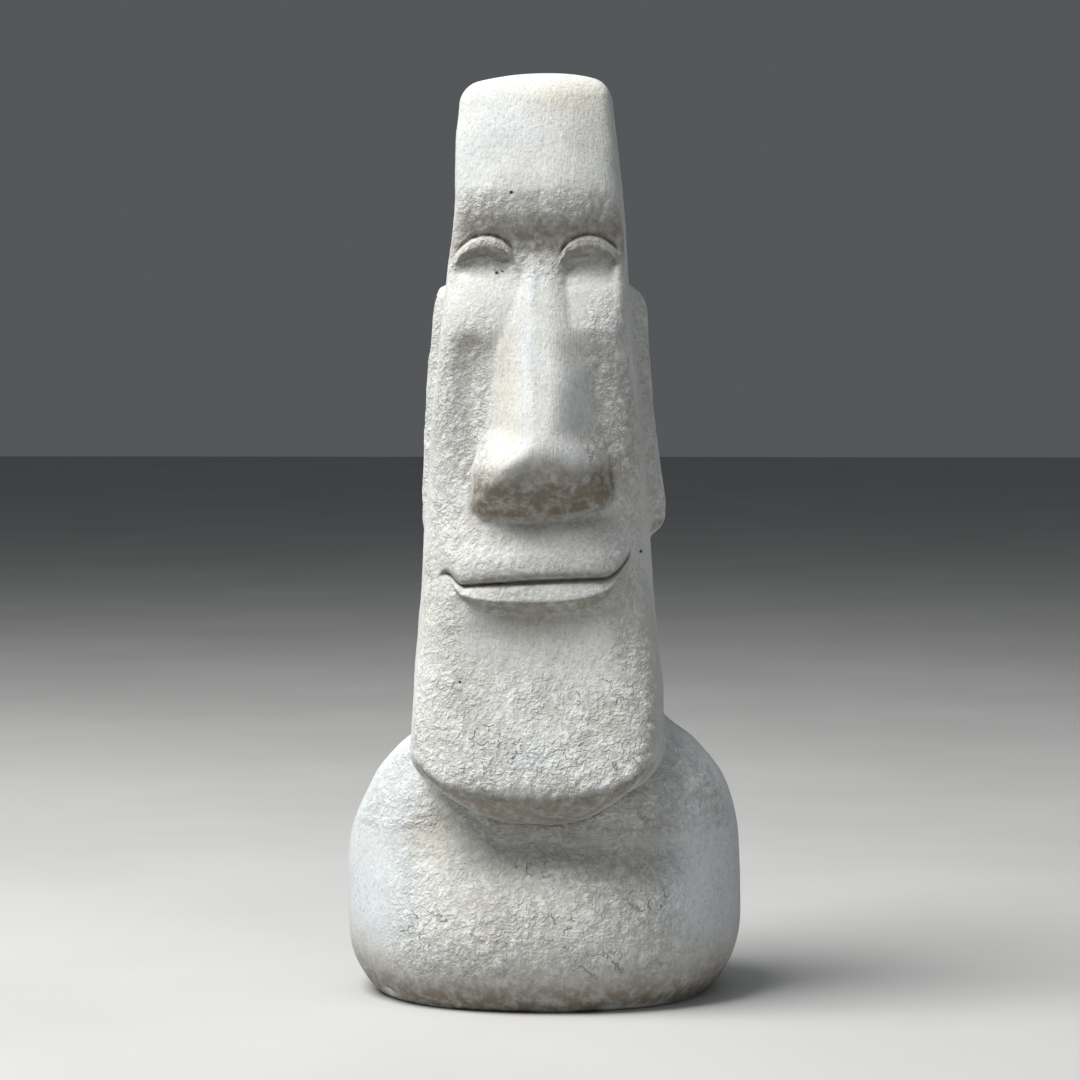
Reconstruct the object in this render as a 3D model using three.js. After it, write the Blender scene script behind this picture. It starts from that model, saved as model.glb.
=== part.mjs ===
// Garden statue in the form of a moai: a long head on a rounded block of shoulders, cast in one
// piece of grey stone. Millimetres, +Z up, the face looks towards -Y, the origin is the middle of
// the underside.
//
// The solid starts as a lathe blank of unit radius. Every point of the blank is then moved to the
// surface that the sections of the head and the shoulders give for its angle and height, and the
// nose, eyes, mouth and ears are raised or sunk from that surface.

import * as THREE from 'three';
import { mergeVertices } from 'three/addons/utils/BufferGeometryUtils.js';

// ---- Driving dimensions ---------------------------------------------------------------------

const HEIGHT = 440;
const COLUMNS = 52;            // vertical edges around the blank
const CROWN_SLOPE = 0.27;      // angle at which the domed top meets its rounded edge
const CROWN_TILT = 0.03;       // the top is this much higher towards the right
const TOP_ROUND = 10.5;        // radius of the edge around the top
const FOOT_ROUND = 1.5;        // radius of the edge around the underside

// ---- Small functions ------------------------------------------------------------------------

const clamp = (t, low = 0, high = 1) => Math.min(Math.max(t, low), high);

function ramp(from, to, t) {
  const s = clamp((t - from) / (to - from));
  return s * s * (3 - 2 * s);
}

function bump(t) {
  return Math.exp(-t * t);
}

function smoothMax(a, b, reach) {
  const h = clamp(0.5 + 0.5 * (a - b) / reach);
  return b + (a - b) * h + reach * h * (1 - h);
}

function smoothMin(a, b, reach) {
  return -smoothMax(-a, -b, reach);
}

// A smooth curve through [height, value] points that never swings past them.
function profile(points) {
  const last = points.length - 1;
  const grade = (i) => (points[i + 1][1] - points[i][1]) / (points[i + 1][0] - points[i][0]);
  const slopes = points.map((_, i) => {
    const before = grade(Math.max(i - 1, 0));
    const after = grade(Math.min(i, last - 1));
    return before * after > 0 ? 2 * before * after / (before + after) : 0;
  });
  return (height) => {
    const z = clamp(height, points[0][0], points[last][0]);
    const i = points.slice(1, last).filter((point) => point[0] <= z).length;
    const step = points[i + 1][0] - points[i][0];
    const t = (z - points[i][0]) / step;
    const start = (1 + 2 * t) * (1 - t) ** 2 * points[i][1] + t * (1 - t) ** 2 * step * slopes[i];
    const end = t * t * (3 - 2 * t) * points[i + 1][1] - t * t * (1 - t) * step * slopes[i + 1];
    return start + end;
  };
}

// Distance from the axis to a rounded rectangle; the angle 0 looks at the front.
function section(half, front, back, squareness, angle) {
  const side = Math.abs(Math.sin(angle) / half) ** squareness;
  const depth = Math.abs(Math.cos(angle) / (Math.cos(angle) >= 0 ? front : back)) ** squareness;
  return (side + depth) ** (-1 / squareness);
}

// ---- Head: half width, front and back by height ---------------------------------------------

const headHalf = profile([[0, 59.5], [110, 59.5], [138, 59.1], [160, 57.7], [187, 56.1],
  [212, 54.8], [235, 53.2], [262, 51.5], [284, 49.5], [310, 46], [330, 44], [345, 42.6],
  [369, 40.4], [402, 38.4], [426, 36.2], [440, 35.1]]);
const headFront = profile([[0, 81.5], [98, 81.5], [106, 81], [112, 78.8], [121, 74.4],
  [132, 68.8], [143, 63.3], [154, 58.8], [166, 55.2], [175, 53.6], [184, 53.8], [197, 57],
  [208, 58.2], [217, 55.8], [230, 50.4], [250, 47.4], [275, 45.4], [300, 44.6], [316, 43.6],
  [322, 42.4], [345, 38], [358, 38.3], [373, 38.7], [380, 38.8], [387, 37.8], [400, 34.2],
  [420, 28.2], [440, 22]]);
const headBack = profile([[0, 56], [140, 54], [200, 51], [300, 48], [400, 43], [440, 39]]);
const faceSquareness = profile([[80, 6.5], [125, 7], [148, 6.3], [165, 5], [178, 4], [190, 3],
  [200, 2.5], [225, 2.4], [240, 2.7], [260, 3.2], [290, 4.2], [318, 6], [340, 7], [400, 8]]);
const faceBow = profile([[330, 0], [350, 3], [368, 6], [440, 6]]);
const NAPE_SQUARENESS = 3;
const CHIN_FULL = 103.5;       // height where the middle of the chin starts to turn under
const CHIN_BOTTOM = 78.5;
const CHIN_ROUNDNESS = 2.1;
const CHIN_ARC = 8;            // how far the chin's bottom rises towards the jaws

function headRadius(angle, z) {
  const squareness = Math.cos(angle) >= 0 ? faceSquareness(z) : NAPE_SQUARENESS;
  const aside = Math.min(Math.abs(Math.tan(angle)) * headFront(z) / headHalf(z), 9);
  const bow = faceBow(z) * aside ** 2 / (1 + aside ** 6) ** (1 / 3);
  const plain = section(headHalf(z), headFront(z) - bow, headBack(z), squareness, angle);
  const arc = CHIN_ARC * Math.min(Math.abs(plain * Math.sin(angle) / 46) ** 2.8, 1.6);
  const full = CHIN_FULL + 1.3 * arc;
  const drop = clamp((full - z) / (full - CHIN_BOTTOM - arc));
  return plain * (1 - drop ** CHIN_ROUNDNESS) ** (1 / CHIN_ROUNDNESS);
}

// ---- Shoulders ------------------------------------------------------------------------------

const SHOULDER_HALF = 95;      // half of the greatest width
const SHOULDER_LEVEL = 50;     // height of the greatest width
const SHOULDER_RISE = 90;      // from there up to where the shoulders meet the head
const SHOULDER_ROUNDNESS = 2.5;
const SHOULDER_SQUARENESS = 2.2;
const FOOT_INSET = 16;         // how far the underside stands inside the greatest width
const baseFront = profile([[0, 74], [3, 77], [8, 80.5], [15, 82.6], [23, 83], [33, 81.8],
  [43, 78.6], [53, 73.8], [63, 68.2], [73, 63.6], [84, 61], [100, 55], [130, 40], [170, 12]]);
const baseBack = profile([[0, 74], [14, 79], [36, 81], [60, 80], [90, 73], [120, 60], [150, 40],
  [175, 12]]);

function baseRadius(angle, z) {
  const up = clamp((z - SHOULDER_LEVEL) / SHOULDER_RISE, 0, 0.999);
  const down = clamp((SHOULDER_LEVEL - z) / SHOULDER_LEVEL);
  const arch = (1 - up ** SHOULDER_ROUNDNESS) ** (1 / SHOULDER_ROUNDNESS);
  const half = SHOULDER_HALF * arch - FOOT_INSET * down ** 3.4;
  const plain = section(half, baseFront(z), baseBack(z), SHOULDER_SQUARENESS, angle);
  const across = plain * Math.sin(angle);
  const chest = 2.5 * bump(across / 40) * bump((z - 44) / 22);
  const valley = 5 * bump((Math.abs(across) - 52) / 12) * bump((z - 88) / 24);
  const throat = 4.5 * bump(across / 46) * bump((z - 80) / 12);
  return plain + (chest - valley - throat) * ramp(0.1, 0.5, Math.cos(angle));
}

function bodyRadius(angle, z) {
  const front = Math.cos(angle);
  const fillet = front > 0 ? 2.2 + 6 * (1 - front) ** 1.5 : 8.2 - 8 * front;
  return smoothMax(headRadius(angle, z), baseRadius(angle, z), fillet);
}

// ---- Nose: a straight flat ridge that broadens into a round tip with two wings ----------------

const NOSE_ROOT = 353;
const NOSE_TIP = 256;
const NOSE_BASE = 227;
const ROOT_FRONT = 33.2;       // distance of the ridge from the axis at the root and at the tip
const TIP_FRONT = 70.3;
const noseMiddle = profile([[227, 3.7], [239, 4.2], [252, 5], [264, 6.2], [280, 6.2],
  [293, 5.9], [308, 4.6], [321, 4.2], [354, 3.8]]);
const ridgeHalf = profile([[228, 12], [250, 8], [264, 6], [280, 7.5], [293, 7.5], [308, 6.8],
  [321, 5.2], [352, 5]]);
const noseLeft = profile([[227, 29.5], [233, 32.3], [239, 33.3], [252, 33.6], [264, 31.8],
  [280, 29.5], [293, 27], [308, 25], [321, 20], [335, 14], [354, 9.5]]);
const noseRight = profile([[227, 28.5], [233, 31.3], [239, 32.2], [252, 30], [264, 27.5],
  [280, 24], [293, 23.5], [308, 19], [321, 14.5], [335, 13], [354, 11]]);

function nose(x, z, front) {
  const side = Math.abs(x);
  const left = x < 0;
  const half = left ? noseLeft(z) : noseRight(z);
  const grade = (TIP_FRONT - ROOT_FRONT) / (NOSE_ROOT - NOSE_TIP);
  const ridgeFront = smoothMin(ROOT_FRONT + grade * (NOSE_ROOT - z), TIP_FRONT, 2);
  const reach = Math.max(ridgeFront - front, 0) * ramp(NOSE_ROOT + 8, NOSE_ROOT + 1, z);
  const beyond = clamp((side - ridgeHalf(z)) / (half - ridgeHalf(z)), -1);
  const flank = clamp(smoothMax(beyond, 0, left ? 0.12 : 0.35));
  const wedge = (1 - flank) ** (left ? 1.45 : 1.25);
  const dome = clamp(1 - (side / half) ** 2.6) ** 0.62;
  const raised = reach * (wedge + (dome - wedge) * ramp(272, 250, z));
  const above = z - NOSE_BASE - 3.2 * (x / 30) ** 2 - 2.2 * (x / 30);
  if (above <= 0) return 0;
  const slant = 30.5 - 11.5 * Math.max(ramp(3, 22, -x), ramp(8, 27, x));
  const underside = 24 * clamp(above / slant, 0, 2) ** 0.9;
  const nostril = 2.6 * bump((side - 20) / 8) * bump((above - 7) / 4.5);
  return Math.max(smoothMin(raised, underside - nostril, 10), 0) * ramp(0, 1.2, raised);
}

// ---- Eyes: an overhanging brow, and a thick arched lid over a shallow hollow -------------------

const EYE_X = 24.8;            // half of the distance between the middles of the eyes
const EYE_SHIFT = 0.6;         // both eyes stand this much to the right
const EYE_HALF = 13.8;
const EYE_Z = 351.5;           // height of the two ends of the lid
const LID_RISE = 9;            // the middle of the lid stands this much above its ends
const LID_REACH = 12;          // height over which the rows above the lid follow it
const HOLLOW_REACH = 6;        // and below it

const fromEye = (x) => Math.abs(Math.abs(x - EYE_SHIFT) - EYE_X);

const browRecess = profile([[316, 0], [334, 0.38], [345, 0.86], [353, 1], [358, 0.93],
  [366, 0.36], [373, 0.06], [380, 0]]);

function underBrow(x, z) {
  const wave = 2.5 * ramp(12, 34, x) + 2 * ramp(22, 38, -x) + 0.7 * Math.sin(x / 6);
  return -5.6 * browRecess(z - wave * ramp(352, 362, z)) * ramp(44, 36, Math.abs(x));
}

// How far a row is lifted, so that rows run along the lid.
function lidShift(x, row) {
  const rise = LID_RISE * clamp(1 - (fromEye(x) / EYE_HALF) ** 2) ** 0.7;
  return rise * bump((row - EYE_Z) / (row > EYE_Z ? LID_REACH : HOLLOW_REACH));
}

// The lid follows the lifted rows by their distance above it, and the hollow ends level.
function eye(x, above, z) {
  const side = fromEye(x);
  const lid = 2.8 * ramp(0.9, -0.9, above) * ramp(-5.2, -2.8, above) * ramp(15, 11, side);
  const crease = 1.3 * bump((above - 1.7) / 1.7) * ramp(EYE_HALF + 1.5, EYE_HALF - 2, side);
  const floor = 339 - 6 * ramp(0, 10, x);
  const hollow = 2.4 * ramp(-2.8, -4.6, above) * ramp(floor, 346, z) * ramp(14, 10, side);
  return lid - crease - hollow;
}

// ---- Mouth: a long thin groove, a rolled upper lip and a flat lower lip ------------------------

const MOUTH_Z = 200;
const MOUTH_REACH = 13;        // height over which the rows follow the groove

// How far a row is lifted, so that rows run along the groove.
function mouthShift(x, row) {
  const right = 10 * clamp((x - 31) / 12.5, 0, 1.1) ** 2;
  const left = 6.5 * ramp(34, 43, -x) - 1.7 * ramp(43, 47, -x);
  const rise = 0.05 * x - 0.0006 * x ** 2 - 1 + right + left;
  return rise * bump((row - MOUTH_Z) / MOUTH_REACH);
}

function mouth(x, above) {
  const ends = ramp(-47, -42, x) * ramp(45, 42, x);
  const groove = (3 * bump(above) + 0.8 * bump((above - 0.6) / 2.2)) * ends;
  const corners = ramp(46, 34, Math.abs(x));
  const upperLip = 2.6 * ramp(0.2, 2.2, above) * ramp(18, 3.5, above) * corners;
  const arc = clamp(1 - (Math.abs(x - 0.5) / 42) ** 2.6) ** 0.8;
  const down = -above / (12.5 * arc + 0.01);
  const onLip = ramp(-0.02, 0.12, down) * ramp(1.25, 0.72, down) * ramp(0.02, 0.3, arc);
  const lowerLip = (0.6 + arc * 6.6 * clamp(down, 0, 1.2)) * onLip;
  return upperLip + lowerLip - groove;
}

function cheek(x, z) {
  const side = Math.abs(x);
  const middle = x > 0 ? 31 - 4 * ramp(280, 310, z) : 31;
  const hollow = 4.4 * bump((side - middle) / 9.5) * ramp(334, 292, z) * ramp(222, 264, z);
  const high = 1.9 - 1.1 * ramp(0, 12, x);
  const bone = high * bump((side - 27) / 12) * bump((z - 320) / 11);
  const jaw = 1.5 * bump((side - 47) / 8) * bump((z - 190) / 30);
  return bone - hollow - jaw;
}

const FACE_SHIFT = 2;          // the mouth stands a little right of the eyes

// How far the face stands out of the plain head; z is the height and row that before the lift.
function face(x, z, row) {
  const brow = underBrow(x, z);
  return brow + nose(x - noseMiddle(z), z, headFront(z) + brow) + eye(x, row - EYE_Z, z)
    + mouth(x - FACE_SHIFT, row - MOUTH_Z) + cheek(x, z);
}

// ---- Ears: long flat strips with a groove, the right one thicker at its lobe -------------------

const EAR_TOP = 341;
const EAR_BOTTOM = 217;
const EAR_MIDDLE = 14;         // distance behind the axis
const EAR_HALF = 12;
const EAR_CORNER = 10;
const earRight = profile([[216, 54], [219, 56.2], [223, 59.3], [228, 61], [234, 61],
  [240, 60.1], [258, 57.3], [284, 54.6], [310, 52.8], [327, 51.8], [334.5, 49.6], [339, 44.8],
  [341, 43]]);
const earLeft = profile([[217, 55], [228, 56], [240, 56.5], [258, 56.1], [284, 55.4],
  [310, 53.6], [330, 51.2], [341, 49]]);

// Distance of the side of the head from the middle, with the ear where the ear covers it.
function earSide(x, y, z) {
  const side = Math.abs(x);
  const along = clamp((z - EAR_BOTTOM) / (EAR_TOP - EAR_BOTTOM));
  const half = EAR_HALF + 2.5 * (1 - along);
  const pastEdge = Math.abs(y - EAR_MIDDLE - 5 * (along - 0.5)) - (half - EAR_CORNER);
  const pastEnd = Math.abs(z - (EAR_TOP + EAR_BOTTOM) / 2) - ((EAR_TOP - EAR_BOTTOM) / 2 - EAR_CORNER);
  const corner = Math.hypot(Math.max(pastEdge, 0), Math.max(pastEnd, 0));
  const outside = corner + Math.min(Math.max(pastEdge, pastEnd), 0) - EAR_CORNER;
  const groove = 3 * bump((outside + 0.62 * half) / 2.6) * ramp(0.22, 0.36, along);
  const ear = (x > 0 ? earRight(z) : earLeft(z)) - groove;
  return side + Math.max(ear - side, 0) * ramp(1, -3.5, outside);
}

// ---- From the blank to the statue -------------------------------------------------------------

const BLEND = 8;               // where the head's lean passes into the shoulders'
const headLean = profile([[85, 0], [120, -1.3], [140, -1.3], [169, -2.3], [188, -2.9],
  [212, -3.3], [240, -2.8], [300, -2.6], [344, -2.5], [354, -2.2], [368, -1.7], [382, -2],
  [402, -3], [414, -3.5], [440, -3.6]]);
const shoulderLean = profile([[0, -0.7], [14, -0.5], [30, -0.1], [47, 0], [68, -0.2],
  [84, 0.8], [100, 2.2], [113, 2.4], [125, 3.3]]);

// Moves a point of the blank, given by its share of the radius, turn and height, to the surface.
function carve(share, turn, row) {
  const angle = turn - 0.8 * Math.sin(turn) + 0.15 * Math.sin(2 * turn);
  const onFace = ramp(0.25, 0.6, Math.cos(angle)) * ramp(0.75, 0.98, share);
  const onSide = ramp(0.45, 0.8, Math.abs(Math.sin(angle)));
  const level = bodyRadius(angle, row) * share * Math.sin(angle);
  const z = row + (mouthShift(level - FACE_SHIFT, row) + lidShift(level, row)) * onFace;
  const radius = bodyRadius(angle, z) * share;
  const across = radius * Math.sin(angle);
  const y = -radius * Math.cos(angle) - face(across, z, row) * onFace;
  const side = Math.abs(across) + (earSide(across, y, z) - Math.abs(across)) * onSide;
  const head = clamp(0.5 + 0.5 * (headRadius(angle, z) - baseRadius(angle, z)) / BLEND);
  const x = Math.sign(across) * side + head * headLean(z) + (1 - head) * shoulderLean(z);
  return new THREE.Vector3(x, y, z + CROWN_TILT * across * ramp(400, 428, z));
}

// Heights of the rows up the wall, close together where the carving is fine.
function wallRows(top) {
  const stepAt = profile([[0, 5], [30, 10], [66, 8.5], [78, 3.8], [86, 2.7], [94, 4.4],
    [112, 4.8], [135, 9.5], [172, 8.5], [188, 4.4], [196, 1.45], [204, 1.5], [213, 4.8],
    [225, 3.5], [262, 4.2], [280, 10.5], [322, 9], [336, 3.6], [343, 2.2], [355, 1.8],
    [362, 3.1], [374, 3.5], [384, 3.8], [396, 10], [425, 10]]);
  const rows = [];
  for (let z = FOOT_ROUND; z < top - 1; z += stepAt(z)) rows.push(z);
  return rows;
}

// Outline of the blank from the middle of the underside to the middle of the top, at unit radius.
function blankOutline() {
  const half = headHalf(HEIGHT);
  const corner = TOP_ROUND / half;
  const edge = 1 - corner * (1 - Math.sin(CROWN_SLOPE));
  const rise = Math.tan(CROWN_SLOPE) * edge * half / 2;
  const top = HEIGHT - rise - TOP_ROUND * Math.cos(CROWN_SLOPE);
  const outline = [[0, 0], [0.5, 0], [0.98, 0]];
  for (const z of wallRows(top)) outline.push([1, z]);
  for (let i = 0; i <= 4; i++) {
    const bend = (i / 4) * (Math.PI / 2 - CROWN_SLOPE);
    outline.push([1 - corner * (1 - Math.cos(bend)), top + TOP_ROUND * Math.sin(bend)]);
  }
  for (const share of [0.66, 0.33, 0]) {
    outline.push([edge * share, HEIGHT - rise * share ** 2]);
  }
  return outline.map(([share, z]) => new THREE.Vector2(share, z));
}

// Leaves out the triangles that close up to a line where the outline meets the axis.
function withoutSlivers(geometry) {
  const index = geometry.index.array;
  const kept = [];
  for (let i = 0; i < index.length; i += 3) {
    const [a, b, c] = index.slice(i, i + 3);
    if (a !== b && b !== c && c !== a) kept.push(a, b, c);
  }
  geometry.setIndex(kept);
  return geometry;
}

function statueGeometry() {
  const blank = new THREE.LatheGeometry(blankOutline(), COLUMNS);
  const points = blank.attributes.position;
  for (let i = 0; i < points.count; i++) {
    const share = Math.hypot(points.getX(i), points.getZ(i));
    const turn = Math.atan2(points.getX(i), points.getZ(i));
    const carved = carve(share, turn, points.getY(i));
    points.setXYZ(i, carved.x, carved.y, carved.z);
  }
  blank.deleteAttribute('normal');
  blank.deleteAttribute('uv');
  const geometry = withoutSlivers(mergeVertices(blank, 0.001));
  geometry.computeBoundingBox();
  const middle = geometry.boundingBox.getCenter(new THREE.Vector3());
  geometry.translate(-middle.x, -middle.y, 0);
  geometry.computeVertexNormals();
  return geometry;
}

const castStone = new THREE.MeshStandardMaterial({ color: 0xbfc1bb, roughness: 0.92, metalness: 0 });
const statue = new THREE.Mesh(statueGeometry(), castStone);
statue.name = 'moai_statue';

const part = new THREE.Group();
part.add(statue);

export default part;
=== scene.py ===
"""Garden moai: the fine surface and finish of the cast stone statue, on a plain pale floor.

The form is worked out in millimetres on a statue 440 mm tall, and scaled to the height of the
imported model. +Z is up, the face looks towards -Y, and the middle of the underside is the origin.
Left and right are as seen from the front, so that right is +X.
"""
import math

import bpy
import numpy as np
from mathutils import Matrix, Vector


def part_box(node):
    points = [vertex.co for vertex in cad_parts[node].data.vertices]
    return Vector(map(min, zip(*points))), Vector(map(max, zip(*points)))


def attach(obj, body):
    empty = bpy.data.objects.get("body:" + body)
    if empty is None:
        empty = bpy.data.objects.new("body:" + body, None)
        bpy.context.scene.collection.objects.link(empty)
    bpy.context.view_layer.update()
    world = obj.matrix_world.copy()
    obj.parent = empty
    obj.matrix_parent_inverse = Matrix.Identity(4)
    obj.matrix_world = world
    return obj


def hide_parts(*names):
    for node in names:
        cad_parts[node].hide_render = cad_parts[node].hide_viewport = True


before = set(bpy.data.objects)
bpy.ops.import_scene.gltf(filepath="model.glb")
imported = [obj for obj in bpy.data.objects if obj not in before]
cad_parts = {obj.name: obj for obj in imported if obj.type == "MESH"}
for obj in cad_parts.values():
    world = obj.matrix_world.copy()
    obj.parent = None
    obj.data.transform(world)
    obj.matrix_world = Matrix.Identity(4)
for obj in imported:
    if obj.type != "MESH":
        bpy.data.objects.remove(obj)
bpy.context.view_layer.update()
NODE = "moai_statue"
low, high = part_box(NODE)

# ---- Driving dimensions ------------------------------------------------------------------------
HEIGHT = 440.0
MM = (high[2] - low[2]) / HEIGHT  # metres in one of the form's millimetres
ROW_FINENESS = 0.3                # steps between rows, as a share of the solid's own
COLUMNS = 232                     # vertical lines of vertices around the statue
CROWN_SLOPE = 0.27                # angle at which the domed top meets its edge, in radians
CROWN_TILT = 0.03                 # the top is this much higher towards the right
TOP_ROUND = 10.5                  # radius of the edge around the top
FOOT_ROUND = 1.5                  # radius of the edge around the underside


# ---- Small functions, all on arrays ------------------------------------------------------------
def clamp(t, lowest=0.0, highest=1.0):
    return np.clip(t, lowest, highest)


def ramp(start, end, t):
    s = clamp((t - start) / (end - start))
    return s * s * (3 - 2 * s)


def bump(t):
    return np.exp(-t * t)


def window(x, z, middle_x, middle_z, half_x, half_z):
    """A soft oval patch, 1 in its middle."""
    return bump((x - middle_x) / half_x) * bump((z - middle_z) / half_z)


def smooth_max(a, b, reach):
    h = clamp(0.5 + 0.5 * (a - b) / reach)
    return b + (a - b) * h + reach * h * (1 - h)


def smooth_min(a, b, reach):
    return -smooth_max(-a, -b, reach)


def profile(*points):
    """A smooth curve through (height, value) points that never swings past them."""
    heights, values = np.array(points, float).T
    steps = np.diff(heights)
    grades = np.diff(values) / steps
    before = np.append(grades[0], grades)
    after = np.append(grades, grades[-1])
    same = before * after > 0
    slopes = np.zeros_like(values)
    slopes[same] = 2 * before[same] * after[same] / (before[same] + after[same])

    def value(height):
        z = clamp(height, heights[0], heights[-1])
        i = clamp(np.searchsorted(heights, z, side="right") - 1, 0, len(steps) - 1)
        t = (z - heights[i]) / steps[i]
        start = (1 + 2 * t) * (1 - t) ** 2 * values[i] + t * (1 - t) ** 2 * steps[i] * slopes[i]
        end = t * t * (3 - 2 * t) * values[i + 1] - t * t * (1 - t) * steps[i] * slopes[i + 1]
        return start + end

    return value


def section(half, front, back, squareness, angle):
    """Distance from the axis to a rounded rectangle; the angle 0 looks at the front."""
    side = np.abs(np.sin(angle) / half) ** squareness
    depth = np.abs(np.cos(angle) / np.where(np.cos(angle) >= 0, front, back)) ** squareness
    return (side + depth) ** (-1 / squareness)


def noise(points, size, seed):
    """Smooth noise between about -1 and 1, whose swells are about size across."""
    spot = points / size
    cell = np.floor(spot).astype(np.int64)
    inside = spot - cell
    weight = inside ** 3 * (inside * (inside * 6 - 15) + 10)
    total = np.zeros(len(points))
    for corner in np.ndindex(2, 2, 2):
        x, y, z = (cell + corner).T
        key = (x * 73856093 ^ y * 19349663 ^ z * 83492791 ^ seed * 2654435761) & 0xFFFFFFFF
        key = (key ^ key >> 15) * 2246822519 & 0xFFFFFFFF
        key = (key ^ key >> 13) * 3266489917 & 0xFFFFFFFF
        pull = np.stack([key >> shift & 1023 for shift in (0, 10, 20)], -1) / 511.5 - 1
        share = np.where(corner, weight, 1 - weight).prod(-1)
        total += share * (pull * (inside - corner)).sum(-1)
    return total * 1.5


# ---- Head: half width, front and back by height ------------------------------------------------
head_half = profile((0, 59.5), (110, 59.5), (138, 59.1), (160, 57.7), (187, 56.1), (212, 54.8),
                    (235, 53.2), (262, 51.5), (284, 49.5), (310, 46), (330, 44), (345, 42.6),
                    (369, 40.4), (402, 38.4), (426, 36.2), (440, 35.1))
head_front = profile((0, 81.5), (98, 81.5), (106, 81), (112, 78.8), (121, 74.4), (132, 68.8),
                     (143, 63.3), (154, 58.8), (166, 55.2), (175, 53.6), (184, 53.8), (197, 57),
                     (208, 58.2), (217, 55.8), (230, 50.4), (250, 47.4), (275, 45.4), (300, 44.6),
                     (316, 43.6), (322, 42.4), (345, 38), (358, 38.3), (373, 38.7), (380, 38.8),
                     (387, 37.8), (400, 34.2), (420, 28.2), (440, 22))
head_back = profile((0, 56), (140, 54), (200, 51), (300, 48), (400, 43), (440, 39))
face_squareness = profile((80, 6.5), (125, 7), (148, 6.3), (165, 5), (178, 4), (190, 3),
                          (200, 2.5), (225, 2.4), (240, 2.7), (260, 3.2), (290, 4.2), (318, 6),
                          (340, 7), (400, 8))
# how far the corners of the forehead stand behind its middle
face_bow = profile((330, 0), (350, 3), (368, 6), (440, 6))
NAPE_SQUARENESS = 3.0
FAR_ASIDE = 9.0                   # the bow of the face no longer changes beyond this many halves
CHIN_FULL = 103.5                 # height where the middle of the chin starts to turn under
CHIN_BOTTOM = 78.5
CHIN_ROUNDNESS = 2.1
CHIN_ARC = 8.0                    # how far the chin's bottom rises towards the jaws
CHIN_HALF = 46.0                  # distance from the middle where it has risen that far
CHIN_TURN_ARC = 1.3               # the turn above the bottom rises this many times as far


def head_radius(angle, z):
    squareness = np.where(np.cos(angle) >= 0, face_squareness(z), NAPE_SQUARENESS)
    front, half = head_front(z), head_half(z)
    aside = np.minimum(np.abs(np.tan(angle)) * front / half, FAR_ASIDE)
    bow = face_bow(z) * aside ** 2 / (1 + aside ** 6) ** (1 / 3)
    plain = section(half, front - bow, head_back(z), squareness, angle)
    arc = CHIN_ARC * np.minimum(np.abs(plain * np.sin(angle) / CHIN_HALF) ** 2.8, 1.6)
    full, bottom = CHIN_FULL + CHIN_TURN_ARC * arc, CHIN_BOTTOM + arc
    drop = clamp((full - z) / (full - bottom))
    return plain * (1 - drop ** CHIN_ROUNDNESS) ** (1 / CHIN_ROUNDNESS)


# ---- Shoulders ---------------------------------------------------------------------------------
SHOULDER_HALF = 95.0              # half of the greatest width
SHOULDER_LEVEL = 50.0             # height of the greatest width
SHOULDER_RISE = 90.0              # from there up to where the shoulders meet the head
SHOULDER_ROUNDNESS = 2.5
SHOULDER_SQUARENESS = 2.2
FOOT_INSET = 16.0                 # how far the underside stands inside the greatest width
CHEST_SWELL = 2.5
VALLEY_DEPTH = 5.0                # of the valleys that part the chest from the shoulders
THROAT_DEPTH = 4.5                # of the hollow under the chin
CHIN_FILLET = 2.2                 # reach of the fillet to the head, under the chin
SIDE_FILLET = 8.2                 # at the sides
NAPE_FILLET = 16.2                # and at the back
CHIN_CREASE = 1.1                 # depth of the crease where the chin meets the throat
base_front = profile((0, 74), (3, 77), (8, 80.5), (15, 82.6), (23, 83), (33, 81.8), (43, 78.6),
                     (53, 73.8), (63, 68.2), (73, 63.6), (84, 61), (100, 55), (130, 40), (170, 12))
base_back = profile((0, 74), (14, 79), (36, 81), (60, 80), (90, 73), (120, 60), (150, 40),
                    (175, 12))


def base_radius(angle, z):
    up = clamp((z - SHOULDER_LEVEL) / SHOULDER_RISE, 0, 0.999)
    down = clamp((SHOULDER_LEVEL - z) / SHOULDER_LEVEL)
    arch = (1 - up ** SHOULDER_ROUNDNESS) ** (1 / SHOULDER_ROUNDNESS)
    half = SHOULDER_HALF * arch - FOOT_INSET * down ** 3.4
    plain = section(half, base_front(z), base_back(z), SHOULDER_SQUARENESS, angle)
    across = plain * np.sin(angle)
    chest = CHEST_SWELL * window(across, z, 0, 44, 40, 22)
    valley = VALLEY_DEPTH * window(np.abs(across), z, 52, 88, 12, 24)
    throat = THROAT_DEPTH * window(across, z, 0, 80, 46, 12)
    return plain + (chest - valley - throat) * ramp(0.1, 0.5, np.cos(angle))


def chin_crease(angle, z):
    """From 0 to 1 along the line where the chin meets the throat."""
    gap = head_radius(angle, z) - base_radius(angle, z)
    return bump(gap / 2.2) * ramp(0.25, 0.6, np.cos(angle))


def body_radius(angle, z):
    """The head on the shoulders, with a fillet between them that widens towards the back."""
    front = np.cos(angle)
    ahead = CHIN_FILLET + (SIDE_FILLET - CHIN_FILLET) * clamp(1 - front) ** 1.5
    behind = SIDE_FILLET - (NAPE_FILLET - SIDE_FILLET) * front
    fillet = np.where(front > 0, ahead, behind)
    body = smooth_max(head_radius(angle, z), base_radius(angle, z), fillet)
    return body - CHIN_CREASE * chin_crease(angle, z)


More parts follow.
